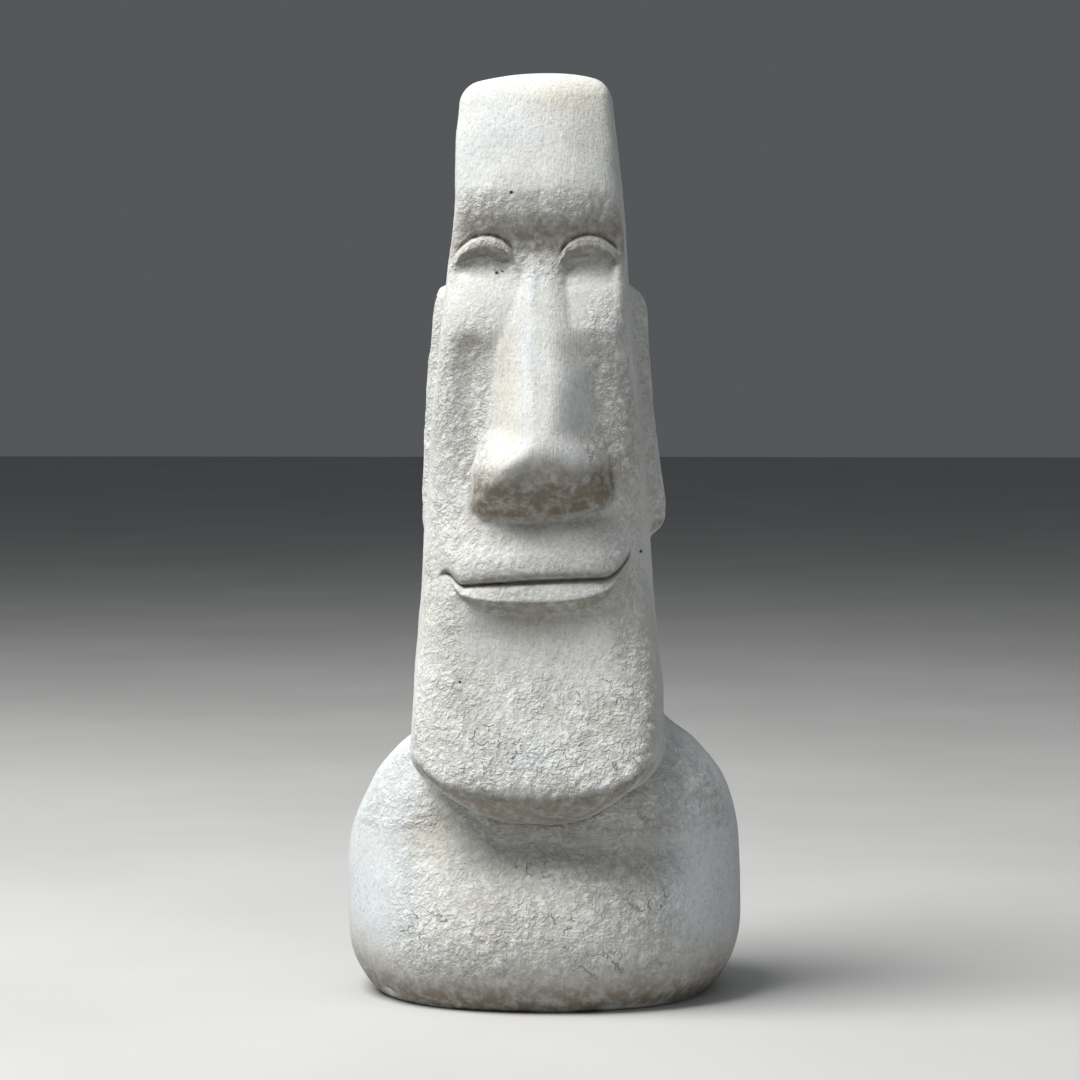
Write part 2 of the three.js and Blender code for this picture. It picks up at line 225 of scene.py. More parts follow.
# ---- Nose: a straight flat ridge that broadens into a round tip with two wings -----------------
NOSE_ROOT = 353.0                 # heights of the ridge's upper end, of the tip and of the base
NOSE_TIP = 256.0
NOSE_BASE = 227.0
ROOT_FRONT = 33.2                 # distance of the ridge from the axis at the root and the tip
TIP_FRONT = 70.3
RIDGE_ROUND = (0.12, 0.35)        # rounding of the ridge's left and right edges, as a share
FLANK_CURVE = (1.45, 1.25)        # how hollow the left and right flanks are; 1 is straight
FLOOR_ARCH = 3.2                  # how far the nose's lower edge rises to both wings
FLOOR_TILT = 2.2                  # and how much further to the right one
WING_HALF = 30.0                  # distance of the wings from the middle
TIP_SLANT = 30.5                  # height of the slanting underside, in the middle
WING_SLANT = 19.0                 # and at the wings
UNDERSIDE_REACH = 24.0            # how far the underside stands out at its upper edge
NOSTRIL_DEPTH = 2.6
TIP_ROUND = 10.0                  # reach of the rounding between ridge and underside
nose_middle = profile((227, 3.7), (239, 4.2), (252, 5), (264, 6.2), (280, 6.2), (293, 5.9),
                      (308, 4.6), (321, 4.2), (354, 3.8))
ridge_half = profile((228, 12), (250, 8), (264, 6), (280, 7.5), (293, 7.5), (308, 6.8), (321, 5.2),
                     (352, 5))
nose_left = profile((227, 29.5), (233, 32.3), (239, 33.3), (252, 33.6), (264, 31.8), (280, 29.5),
                    (293, 27), (308, 25), (321, 20), (335, 14), (354, 9.5))
nose_right = profile((227, 28.5), (233, 31.3), (239, 32.2), (252, 30), (264, 27.5), (280, 24),
                     (293, 23.5), (308, 19), (321, 14.5), (335, 13), (354, 11))


def nose_floor(x):
    """Height of the nose's lower edge."""
    return NOSE_BASE + FLOOR_ARCH * (x / WING_HALF) ** 2 + FLOOR_TILT * (x / WING_HALF)


def nose(x, z, front):
    """A wedge from ridge to cheeks and a dome at the tip, both cut off by the underside."""
    side = np.abs(x)
    half = np.where(x < 0, nose_left(z), nose_right(z))
    grade = (TIP_FRONT - ROOT_FRONT) / (NOSE_ROOT - NOSE_TIP)
    ridge_front = smooth_min(ROOT_FRONT + grade * (NOSE_ROOT - z), TIP_FRONT, 2)
    reach = np.maximum(ridge_front - front, 0) * ramp(NOSE_ROOT + 8, NOSE_ROOT + 1, z)
    flank = clamp((side - ridge_half(z)) / (half - ridge_half(z)), -1)
    flank = smooth_max(flank, 0, np.where(x < 0, *RIDGE_ROUND))
    wedge = (1 - clamp(flank)) ** np.where(x < 0, *FLANK_CURVE)
    dome = clamp(1 - (side / half) ** 2.6) ** 0.62
    raised = reach * (wedge + (dome - wedge) * ramp(NOSE_TIP + 16, NOSE_TIP - 6, z))
    above = z - nose_floor(x)
    on_wing = np.maximum(ramp(3, 22, -x), ramp(8, 27, x))
    slant = TIP_SLANT - (TIP_SLANT - WING_SLANT) * on_wing
    underside = UNDERSIDE_REACH * clamp(above / slant, 0, 2) ** 0.9
    underside -= NOSTRIL_DEPTH * window(side, above, 20, 7, 8, 4.5)
    tip = np.maximum(smooth_min(raised, underside, TIP_ROUND), 0) * ramp(0, 1.2, raised)
    return np.where(above > 0, tip, 0)


# ---- Eyes: an overhanging brow, and a thick arched lid over a shallow hollow -------------------
EYE_X = 24.8                      # half of the distance between the middles of the eyes
EYE_SHIFT = 0.6                   # both eyes stand this much to the right
EYE_HALF = 13.8
EYE_Z = 351.5                     # height of the two ends of the lid
LID_RISE = 9.0                    # the middle of the lid stands this much above its ends
LID_REACH = 12.0                  # height over which the rows above the lid follow it
HOLLOW_REACH = 6.0                # and below it
BROW_DEPTH = 5.6                  # how far the brow overhangs
LID_THICKNESS = 2.8
LID_CREASE = 1.3                  # depth of the crease above the lid
EYE_DEPTH = 2.4                   # of the hollow under the lid


def from_eye(x):
    """Distance to the side from the middle of the nearer eye."""
    return np.abs(np.abs(x - EYE_SHIFT) - EYE_X)


brow_recess = profile((316, 0), (334, 0.38), (345, 0.86), (353, 1), (358, 0.93), (366, 0.36),
                      (373, 0.06), (380, 0))


def under_brow(x, z):
    """The recess under the brow, whose upper edge waves a little."""
    wave = 2.5 * ramp(12, 34, x) + 2 * ramp(22, 38, -x) + 0.7 * np.sin(x / 6)
    return -BROW_DEPTH * brow_recess(z - wave * ramp(352, 362, z)) * ramp(44, 36, np.abs(x))


def lid_rise(x):
    """How far the arched lid stands above its ends."""
    return LID_RISE * clamp(1 - (from_eye(x) / EYE_HALF) ** 2) ** 0.7


def lid_shift(x, row):
    """How far a row is lifted, so that rows run along the lid."""
    reach = np.where(row > EYE_Z, LID_REACH, HOLLOW_REACH)
    return lid_rise(x) * bump((row - EYE_Z) / reach)


def lid_crease(x, above):
    """From 0 to 1 along the crease between the lid and the brow."""
    return bump((above - 1.7) / 1.7) * ramp(EYE_HALF + 1.5, EYE_HALF - 2, from_eye(x))


def eye(x, above, z):
    """The lid follows the lifted rows by their distance above it; the hollow ends level."""
    side = from_eye(x)
    lid = LID_THICKNESS * ramp(0.9, -0.9, above) * ramp(-5.2, -2.8, above) * ramp(15, 11, side)
    floor = 339 - 6 * ramp(0, 10, x)
    hollow = EYE_DEPTH * ramp(-2.8, -4.6, above) * ramp(floor, 346, z) * ramp(14, 10, side)
    return lid - LID_CREASE * lid_crease(x, above) - hollow


# ---- Mouth: a long thin groove, a rolled upper lip and an arched lower lip ---------------------
MOUTH_Z = 200.0
MOUTH_REACH = 13.0                # height over which the rows follow the groove
MOUTH_MIDDLE = 2.0                # how far its middle stands to the right
GROOVE_DEPTH = 3.0
GROOVE_FLARE = 0.8                # depth of the wider, shallow part of the groove
UPPER_LIP = 2.6                   # how far the lips stand out
LOWER_LIP = 6.6
LOWER_LIP_HALF = 42.0             # half of the lower lip's length
LOWER_LIP_HEIGHT = 12.5


def mouth_rise(x):
    """How high the groove runs: it sags a little and turns up at both ends."""
    right = 10 * clamp((x - 31) / 12.5, 0, 1.1) ** 2
    left = 6.5 * ramp(34, 43, -x) - 1.7 * ramp(43, 47, -x)
    return 0.05 * x - 0.0006 * x ** 2 - 1 + right + left


def mouth_shift(x, row):
    """How far a row is lifted, so that rows run along the mouth's groove."""
    return mouth_rise(x) * bump((row - MOUTH_Z) / MOUTH_REACH)


def mouth_groove(x, above):
    ends = ramp(-47, -42, x) * ramp(45, 42, x)
    return (GROOVE_DEPTH * bump(above) + GROOVE_FLARE * bump((above - 0.6) / 2.2)) * ends


def mouth(x, above):
    upper_lip = ramp(0.2, 2.2, above) * ramp(18, 3.5, above) * ramp(46, 34, np.abs(x))
    arc = clamp(1 - (np.abs(x - 0.5) / LOWER_LIP_HALF) ** 2.6) ** 0.8
    down = -above / (LOWER_LIP_HEIGHT * arc + 0.01)
    lower_lip = ramp(-0.02, 0.12, down) * ramp(1.25, 0.72, down) * ramp(0.02, 0.3, arc)
    lower_lip *= 0.6 + arc * LOWER_LIP * clamp(down, 0, 1.2)
    return UPPER_LIP * upper_lip + lower_lip - mouth_groove(x, above)


# ---- Cheeks, and the whole face ----------------------------------------------------------------
CHEEK_DEPTH = 4.4                 # of the hollow beside the nose
JAW_DEPTH = 1.5                   # of the hollow beside the mouth
BONE_LEFT = 1.9                   # how far the cheekbones stand out
BONE_RIGHT = 0.8


def cheek(x, z):
    """The cheekbone, less the hollows beside the nose and the mouth."""
    side = np.abs(x)
    middle = 31 - 4 * ramp(280, 310, z) * (x > 0)
    hollow = CHEEK_DEPTH * bump((side - middle) / 9.5) * ramp(334, 292, z) * ramp(222, 264, z)
    full = BONE_LEFT + (BONE_RIGHT - BONE_LEFT) * ramp(0, 12, x)
    bone = full * window(side, z, 27, 320, 12, 11)
    jaw = JAW_DEPTH * window(side, z, 47, 190, 8, 30)
    return bone - hollow - jaw


def face(x, z, row):
    """How far the face stands out of the plain head; rows lie level before they are lifted."""
    brow = under_brow(x, z)
    features = nose(x - nose_middle(z), z, head_front(z) + brow)
    features += mouth(x - MOUTH_MIDDLE, row - MOUTH_Z)
    return brow + features + eye(x, row - EYE_Z, z) + cheek(x, z)


# ---- Ears: long flat strips with a groove, the right one thicker at its lobe -------------------
EAR_TOP = 341.0
EAR_BOTTOM = 217.0
EAR_MIDDLE = 14.0                 # distance behind the axis
EAR_HALF = 12.0
EAR_CORNER = 10.0
EAR_LEAN = 5.0                    # the ear's top stands this much further back than its bottom
LOBE_FLARE = 2.5                  # the ear is this much wider to each side at its bottom
EAR_GROOVE = 3.0
ear_right = profile((216, 54), (219, 56.2), (223, 59.3), (228, 61), (234, 61), (240, 60.1),
                    (258, 57.3), (284, 54.6), (310, 52.8), (327, 51.8), (334.5, 49.6), (339, 44.8),
                    (341, 43))
ear_left = profile((217, 55), (228, 56), (240, 56.5), (258, 56.1), (284, 55.4), (310, 53.6),
                   (330, 51.2), (341, 49))


def ear_side(x, y, z):
    """Distance of the side of the head from the middle, with the ear where the ear covers it."""
    side = np.abs(x)
    along = clamp((z - EAR_BOTTOM) / (EAR_TOP - EAR_BOTTOM))
    half = EAR_HALF + LOBE_FLARE * (1 - along)
    past_edge = np.abs(y - EAR_MIDDLE - EAR_LEAN * (along - 0.5)) - (half - EAR_CORNER)
    past_end = np.abs(z - (EAR_TOP + EAR_BOTTOM) / 2) - ((EAR_TOP - EAR_BOTTOM) / 2 - EAR_CORNER)
    corner = np.hypot(np.maximum(past_edge, 0), np.maximum(past_end, 0))
    outside = corner + np.minimum(np.maximum(past_edge, past_end), 0) - EAR_CORNER
    groove = EAR_GROOVE * bump((outside + 0.62 * half) / 2.6) * ramp(0.22, 0.36, along)
    ear = np.where(x > 0, ear_right(z), ear_left(z)) - groove
    return side + np.maximum(ear - side, 0) * ramp(1, -3.5, outside)


# ---- From the lathe blank to the statue --------------------------------------------------------
BLEND = 8.0                       # reach over which the shoulders' lean passes into the head's
FRONT_CROWDING = 0.8              # how much closer together the columns stand on the face
SIDE_CROWDING = 0.15              # and on the sides
FOOT_STEPS = 4                    # rows around the edge of the underside
EDGE_STEPS = 15                   # around the edge of the top
CROWN_STEPS = 26                  # and over the top
head_lean = profile((85, 0), (120, -1.3), (140, -1.3), (169, -2.3), (188, -2.9), (212, -3.3),
                    (240, -2.8), (300, -2.6), (344, -2.5), (354, -2.2), (368, -1.7), (382, -2),
                    (402, -3), (414, -3.5), (440, -3.6))
shoulder_lean = profile((0, -0.7), (14, -0.5), (30, -0.1), (47, 0), (68, -0.2), (84, 0.8),
                        (100, 2.2), (113, 2.4), (125, 3.3))


def carve(share, turn, row):
    """A point of the blank, by share of the radius, turn and height, moved to the surface."""
    angle = turn - FRONT_CROWDING * np.sin(turn) + SIDE_CROWDING * np.sin(2 * turn)
    on_face = ramp(0.25, 0.6, np.cos(angle)) * ramp(0.75, 0.98, share)
    on_side = ramp(0.45, 0.8, np.abs(np.sin(angle)))
    level = body_radius(angle, row) * share * np.sin(angle)
    z = row + (mouth_shift(level - MOUTH_MIDDLE, row) + lid_shift(level, row)) * on_face
    radius = body_radius(angle, z) * share
    across = radius * np.sin(angle)
    y = -radius * np.cos(angle) - face(across, z, row) * on_face
    side = np.abs(across) + (ear_side(across, y, z) - np.abs(across)) * on_side
    head = clamp(0.5 + 0.5 * (head_radius(angle, z) - base_radius(angle, z)) / BLEND)
    x = np.sign(across) * side + head * head_lean(z) + (1 - head) * shoulder_lean(z)
    return np.stack([x, y, z + CROWN_TILT * across * ramp(400, 428, z)], -1)


def wall_rows(top):
    """Heights of the rows up the wall, close together where the carving is fine."""
    step_at = profile((0, 4), (30, 5.5), (70, 4.6), (84, 3), (108, 4), (135, 5), (175, 4.6),
                      (188, 3.4), (196, 1.8), (204, 1.8), (213, 3.4), (225, 3.2), (262, 3.6),
                      (280, 5), (322, 5), (336, 3.2), (341, 2.4), (355, 2), (362, 3), (374, 4),
                      (392, 5.4), (425, 5))
    rows = [FOOT_ROUND]
    while rows[-1] < top - 1:
        rows.append(rows[-1] + float(step_at(rows[-1])) * ROW_FINENESS)
    return rows[1:-1]


def blank_outline():
    """The blank's outline at unit radius, from the middle of the underside to that of the top."""
    half = float(head_half(HEIGHT))
    corner = TOP_ROUND / half
    edge = 1 - corner * (1 - math.sin(CROWN_SLOPE))
    rise = math.tan(CROWN_SLOPE) * edge * half / 2
    top = HEIGHT - rise - TOP_ROUND * math.cos(CROWN_SLOPE)
    inset = 0.02
    outline = [(share, 0.0) for share in (0, 0.25, 0.5, 0.7, 0.85, 0.93, 0.965)]
    for bend in np.linspace(0, math.pi / 2, FOOT_STEPS):
        outline.append((1 - inset * (1 - math.sin(bend)), FOOT_ROUND * (1 - math.cos(bend))))
    outline += [(1, z) for z in wall_rows(top)]
    for bend in np.linspace(0, math.pi / 2 - CROWN_SLOPE, EDGE_STEPS):
        outline.append((1 - corner * (1 - math.cos(bend)), top + TOP_ROUND * math.sin(bend)))
    for share in np.linspace(1, 0, CROWN_STEPS)[1:]:
        outline.append((edge * share, HEIGHT - rise * share ** 2))
    return np.array(outline)


def normals_of(grid):
    """Outward unit normals of a grid of points whose columns close around the statue."""
    up = np.gradient(grid, axis=0)
    around = np.roll(grid, -1, 1) - np.roll(grid, 1, 1)
    normal = np.cross(around, up)
    normal[0], normal[-1] = (0, 0, -1), (0, 0, 1)
    return normal / np.maximum(np.linalg.norm(normal, axis=-1, keepdims=True), 1e-9)


# ---- Relief of the cast surface ----------------------------------------------------------------
LEVEL = (0.28, 0.28, 1)           # draws noise out into level creases
CRUMB_HEIGHT = 0.5
CREASE_HEIGHT = 0.45
CHIP_DEPTH = 1.1
CRACK_SPOTS = (                   # x, z, half width and half height of the cracked patches
    (31, 146, 16, 8), (-6, 121, 6, 8), (15, 121, 8, 8), (42, 117, 10, 9), (-26, 109, 8, 8),
    (-22, 128, 12, 8), (14, 40, 10, 10), (0, 67, 12, 7), (-50, 38, 14, 9), (52, 52, 10, 8),
    (32, 24, 14, 7),
)


def front_share(normal):
    """From 0 on the sides and back to 1 on the front."""
    return ramp(0.15, 0.55, -normal[:, 1])


def roughness_of(points, normal):
    """How rough the casting is, from 0.1 on brushed parts to 1 on the chin and chest."""
    x, _, z = points.T
    side = np.abs(x)
    chin = ramp(76, 84, z) * ramp(182, 140, z) * (1 - 0.35 * window(x, z, -4, 158, 26, 16))
    lips = 0.55 * ramp(176, 188, z) * ramp(236, 226, z)
    jaws = 0.8 * ramp(30, 40, side) * ramp(140, 160, z) * ramp(262, 240, z)
    cheeks = 0.95 * ramp(232, 246, z) * ramp(346, 308, z) * ramp(18, 27, side)
    sockets = 0.75 * ramp(330, 350, z) * ramp(388, 376, z)
    chest = ramp(12, 22, z) * ramp(88, 62, z) * ramp(80, 56, side)
    under_nose = 0.75 * window(x, z, 2, 238, 32, 13)
    marks = [chin, lips, jaws, cheeks, sockets, chest, under_nose]
    patches = 0.8 + 0.5 * noise(points, 24, 11)
    front = np.max(marks, axis=0) * patches
    return clamp(0.14 + (front - 0.08) * front_share(normal), 0.1, 1)


def folds_of(points, normal):
    """Where long level creases run: on the throat, under the lip and in the eye hollows."""
    x, _, z = points.T
    throat = ramp(100, 88, z) * ramp(56, 66, z) * ramp(62, 48, np.abs(x))
    below_lip = 0.8 * window(x, z, 0, 181, 30, 9)
    hollows = 0.8 * window(np.abs(x - EYE_SHIFT), z, EYE_X, 348, 12, 6)
    return np.max([throat, below_lip, hollows], axis=0) * front_share(normal)


def cracks_of(points, normal):
    """Patches of the chin and chest with short open cracks."""
    x, _, z = points.T
    marks = [window(x, z, *spot) for spot in CRACK_SPOTS]
    return ramp(0.2, 0.6, np.max(marks, axis=0)) * front_share(normal)


def crumbs_of(points):
    """Rounded crumbs a few millimetres across, parted by narrow valleys, from -1.3 to 1.3."""
    warp = np.stack([noise(points, 9, seed) for seed in (21, 22, 23)], -1) * 2.4
    coarse = np.abs(noise(points + warp, 6.8, 31))
    medium = np.abs(noise(points + warp, 4.2, 32))
    fine = noise(points, 2.6, 33)
    return clamp(2.4 * coarse + 1.7 * medium - 1.15 + 0.6 * fine, -1.3, 1.3)


def chips_of(points):
    """Where the sharp rim of the underside is knocked off, from 0 to 1."""
    x, y, z = points.T
    ragged = z + 1.6 * noise(points, 4, 82)
    left = bump((x + 71) / 3.5) * ramp(6.5, 3.5, ragged)
    right = ramp(28, 34, x) * ramp(64, 58, x) * ramp(3.8, 1.6, ragged)
    around = ramp(0.42, 0.6, noise(points * (1, 1, 0), 11, 81)) * ramp(4.5, 2, ragged)
    return np.max([left * (y < 0), 0.9 * right * (y < 0), 0.8 * around], axis=0)


def relief(points, masks):
    """Height of the fine surface over the form, in millimetres."""
    swell = 0.5 * noise(points, 34, 91) + 0.3 * noise(points, 15, 92)
    crumbs = (CRUMB_HEIGHT * masks["rough"] - 0.02) * masks["lumps"]
    creases = CREASE_HEIGHT * noise(points * LEVEL, 3.2, 41) * masks["folds"]
    return swell + crumbs + creases - CHIP_DEPTH * masks["chip"]


# ---- Dirt, stains, painted light and shade -----------------------------------------------------
def dirt_and_shade_of(points, normal, rows, across):
    """Brown dirt and painted shade: in the creases and nostrils, under the brow, the nose and the
    lower lip, on the throat and on every downward face, and darker towards the bottom.
    """
    z = points[:, 2]
    shifted = across - MOUTH_MIDDLE
    # dirt and painted shade in the creases of the lids and the mouth, and in the nostrils
    lids = lid_crease(across, rows - EYE_Z)
    lips = 0.8 * mouth_groove(shifted, rows - MOUTH_Z) / (GROOVE_DEPTH + GROOVE_FLARE)
    off_nose = across - nose_middle(z)
    above = z - nose_floor(off_nose)
    beside = np.abs(off_nose)
    nostrils = window(beside, above, 20, 6.5, 9, 5.5)
    # painted shade on the nose's underside
    under_nose = ramp(-1, 3, above) * ramp(29, 14, above) * ramp(37, 31, beside)
    # painted shadow of the nose on the upper lip
    under_tip = 0.45 * ramp(2, -1, above) * ramp(-14, -3, above) * ramp(38, 24, beside)
    turn = np.arctan2(across, -points[:, 1])
    # dirt and painted shade along the crease under the chin
    chin_line = 0.9 * chin_crease(turn, z) * ramp(64, 52, np.abs(across))
    # painted shade in the band under the brow
    brow = (0.45 + 0.25 * ramp(5, 30, across)) * ramp(380, 363, rows) * ramp(346, 356, rows)
    # darker towards the bottom
    foot = ramp(28, 4, z)
    # painted shade below the lower lip
    below_lip = 0.45 * window(shifted, rows, 0, 183, 24, 8)
    # painted shade on every face that looks down
    undersides = 0.75 * ramp(0.05, -0.45, normal[:, 2])
    # painted shadow of the chin on the throat
    throat = 0.25 * window(across, z, 0, 80, 46, 13)
    marks = [lids, lips, nostrils, under_nose, under_tip, chin_line, brow, below_lip, undersides,
             throat]
    return clamp(np.maximum(np.max(marks, axis=0) * ramp(0.0, 0.4, -normal[:, 1]), foot))


def stain_and_painted_light_of(points, normal):
    """Painted light below 0: a cool pale colour where the light falls brightly on the shoulders,
    the left brow, the right cheek and the chin, with a painted highlight along the nose's ridge;
    warm stains above 0.
    """
    x, _, z = points.T
    front = front_share(normal)
    left_neck = window(x, z, -52, 84, 9, 26)
    nose_flank = 0.9 * window(x, z, -15, 285, 6, 32) + 0.5 * window(x, z, -20, 315, 8, 14)
    crown = 0.9 * window(x, z, 14, 428, 20, 10)
    below_lip = 0.6 * window(x, z, -10, 176, 26, 10)
    cheek_left = 0.4 * window(x, z, -28, 300, 14, 30)
    chest = 0.45 * window(x, z, -20, 55, 40, 26)
    warm = np.max([left_neck, nose_flank, crown, below_lip, cheek_left, chest], axis=0) * front
    # painted light: a cool pale colour on faces that the light falls on brightly
    shoulders = ramp(46, 66, np.abs(x)) * ramp(22, 40, z) * ramp(140, 118, z)
    brow_left = 0.6 * window(x, z, -26, 405, 16, 28)
    # painted highlight along the left edge of the nose's ridge
    ridge = 0.7 * window(x, z, -5, 300, 3.5, 50)
    cheek_right = 0.2 * window(x, z, 30, 320, 14, 30)
    chin = 0.5 * window(x, z, 0, 118, 50, 18)
    painted_cool_light = np.max([0.9 * shoulders, brow_left, ridge, cheek_right, chin], axis=0)
    return clamp(warm - painted_cool_light + 0.45 * noise(points, 22, 95), -1, 1)


# ---- The statue's mesh -------------------------------------------------------------------------
def statue_grid():
    """The surface in millimetres as rows of points, and the masks of its relief, its patina and
    its painted light and shade.
    """
    outline = blank_outline()
    turns = np.linspace(-math.pi, math.pi, COLUMNS, endpoint=False)
    share, turn = np.meshgrid(outline[:, 0], turns, indexing="ij")
    row = np.meshgrid(outline[:, 1], turns, indexing="ij")[0]
    grid = carve(share, turn, row)
    middle = (grid.min((0, 1)) + grid.max((0, 1))) / 2
    middle[2] = 0
    points = grid.reshape(-1, 3)
    normal = normals_of(grid).reshape(-1, 3)
    across = points[:, 0] - head_lean(points[:, 2])
    masks = {
        "rough": roughness_of(points, normal),
        "folds": folds_of(points, normal),
        "cracked": cracks_of(points, normal),
        "lumps": crumbs_of(points),
        "chip": chips_of(points),
        "dirt_and_shade": dirt_and_shade_of(points, normal, row.ravel(), across),
        "stain_and_painted_light": stain_and_painted_light_of(points, normal),
    }
    on_wall = ramp(0, 2.5, points[:, 2]) * ramp(0.2, 0.9, share.ravel())
    moved = points + normal * (relief(points, masks) * on_wall)[:, None] - middle
    return moved.reshape(grid.shape), {k: v.reshape(grid.shape[:2]) for k, v in masks.items()}


def fit_to_box(grid):
    """Keeps the fine surface inside the solid's own box."""
    return np.clip(grid, np.array(low) / MM, np.array(high) / MM)


def build_statue():
    """One closed mesh, with every mask as an attribute that the material reads."""
    grid, masks = statue_grid()
    grid = fit_to_box(grid) * MM
    rows, columns = grid.shape[:2]
    inner = grid[1:-1].reshape(-1, 3)
    verts = np.vstack([inner, grid[0, :1], grid[-1, :1]])
    index = np.arange(len(inner)).reshape(rows - 2, columns)
    beside = np.roll(index, -1, 1)
    quads = np.stack([index[:-1], beside[:-1], beside[1:], index[1:]], -1).reshape(-1, 4)
    bottom, top = len(inner), len(inner) + 1
    under = [(bottom, b, a) for a, b in zip(index[0].tolist(), beside[0].tolist())]
    crown = [(top, a, b) for a, b in zip(index[-1].tolist(), beside[-1].tolist())]
    mesh = bpy.data.meshes.new("moai_stone")
    mesh.from_pydata(verts.tolist(), [], quads.tolist() + under + crown)
    for name, mask in masks.items():
        values = np.concatenate([mask[1:-1].ravel(), mask[0, :1], mask[-1, :1]])
        layer = mesh.attributes.new(name, "FLOAT", "POINT")
        layer.data.foreach_set("value", values.astype(np.float32))
    mesh.polygons.foreach_set("use_smooth", [True] * len(mesh.polygons))
    mesh.update()
    statue = bpy.data.objects.new("moai_stone", mesh)
    bpy.context.scene.collection.objects.link(statue)
    return statue


# ---- Finish ------------------------------------------------------------------------------------
class Nodes:
    """A short way to write a material's nodes."""

    def __init__(self, name):
        self.material = bpy.data.materials.new(name)
        self.material.use_nodes = True
        self.tree = self.material.node_tree
        self.shader = self.tree.nodes["Principled BSDF"]

    def add(self, kind, settings=(), **inputs):
        node = self.tree.nodes.new("ShaderNode" + kind)
        for key, value in dict(settings).items():
            setattr(node, key, value)
        for key, value in inputs.items():
            self.put(node.inputs[key], value)
        return node

    def put(self, socket, value):
        if isinstance(value, bpy.types.NodeSocket):
            self.tree.links.new(value, socket)
        else:
            socket.default_value = value

    def mask(self, name):
        return self.add("Attribute", {"attribute_name": name}).outputs["Fac"]

    def noise(self, place, scale, detail=3, rough=0.6):
        node = self.add("TexNoise", Vector=place, Scale=scale, Detail=detail, Roughness=rough)
        return node.outputs["Fac"]

    def spread(self, value, start, end, low_value=0.0, high_value=1.0):
        node = self.add("MapRange", {"interpolation_type": "SMOOTHSTEP"}, Value=value)
        for key, number in (("From Min", start), ("From Max", end), ("To Min", low_value),
                            ("To Max", high_value)):
            node.inputs[key].default_value = number
        return node.outputs["Result"]

    def math(self, operation, a, b):
        node = self.add("Math", {"operation": operation})
        self.put(node.inputs[0], a)
        self.put(node.inputs[1], b)
        return node.outputs[0]

    def times(self, a, b):
        return self.math("MULTIPLY", a, b)

    def stretched(self, place, scale):
        return self.add("Mapping", Vector=place, Scale=scale).outputs[0]

    def mix(self, share, a, b):
        node = self.add("Mix", {"data_type": "RGBA"})
        self.put(node.inputs["Factor"], share)
        for socket, value in ((node.inputs[6], a), (node.inputs[7], b)):
            self.put(socket, value if isinstance(value, bpy.types.NodeSocket) else (*value, 1))
        return node.outputs[2]


SPECKS = (                        # x, z and radius of dark specks on the front, in millimetres
    (-13.2, 381, 1.1), (-20.6, 343.6, 1.0), (-18.0, 344.4, 0.6), (47.5, 212, 0.9), (-36, 152, 0.8),
)

# The stone's colours, with its painted light and shade, in linear light
STONE_DARK = (0.55, 0.56, 0.54)
STONE_PALE = (0.665, 0.675, 0.665)
# painted light: the cool pale colour of brightly lit faces
COOL_PAINTED_LIGHT = (0.60, 0.645, 0.68)
STAINED = (0.665, 0.635, 0.53)
# painted shade in the valleys and gaps between the crumbs, and a painted highlight on their crests
CRUMB_VALLEY_SHADE = (0.27, 0.26, 0.225)
CRUMB_GAP_SHADE = (0.30, 0.285, 0.25)
CREST_HIGHLIGHT = (0.76, 0.76, 0.74)
BRUSHED = (0.40, 0.40, 0.38)
SAND_PALE = (0.80, 0.80, 0.78)
SAND_DARK = (0.29, 0.285, 0.26)
# brown dirt, and painted shade in the creases, under the overhangs and on downward faces
DIRT_AND_SHADE = (0.16, 0.125, 0.088)
CRACK = (0.16, 0.14, 0.11)
SPECK = (0.045, 0.02, 0.015)
BROKEN = (0.82, 0.82, 0.80)


def crack_lines(n, place, cracked):
    """Short cracks along the edges of warped cells, in the cracked patches."""
    drift = n.add("TexNoise", Vector=place, Scale=240.0, Detail=2.0).outputs["Color"]
    warped = n.add("VectorMath", {"operation": "MULTIPLY_ADD"})
    for socket, value in zip(warped.inputs, (drift, (0.004, 0.004, 0.004), place)):
        n.put(socket, value)
    cell = n.add("TexVoronoi", {"feature": "DISTANCE_TO_EDGE"}, Vector=warped.outputs[0],
                 Scale=125.0)
    gap = n.spread(cell.outputs["Distance"], 0.055, 0.0)
    return n.times(n.times(gap, cracked), n.spread(n.noise(place, 190, 1), 0.50, 0.56))


def dark_specks(n, place):
    """Round bug holes, on the front only."""
    flat = n.stretched(place, (1, 0, 1))
    speck = None
    for x, z, radius in SPECKS:
        away = n.add("VectorMath", {"operation": "DISTANCE"})
        n.put(away.inputs[0], flat)
        n.put(away.inputs[1], (x * MM, 0, z * MM))
        dot = n.spread(away.outputs["Value"], radius * MM, 0.4 * radius * MM)
        speck = dot if speck is None else n.math("MAXIMUM", speck, dot)
    facing = n.add("SeparateXYZ", Vector=n.add("NewGeometry").outputs["True Normal"])
    return n.times(speck, n.spread(facing.outputs["Y"], 0.0, -0.3))


def broken_rim(n, place, sand, clouds):
    """A thin pale line around the edge of the underside, interrupted here and there."""
    height = n.add("SeparateXYZ", Vector=place).outputs["Z"]
    ragged = n.math("ADD", height, n.times(sand, 0.003))
    return n.times(n.spread(ragged, 0.0031, 0.0024), n.spread(clouds, 0.2, 0.7))


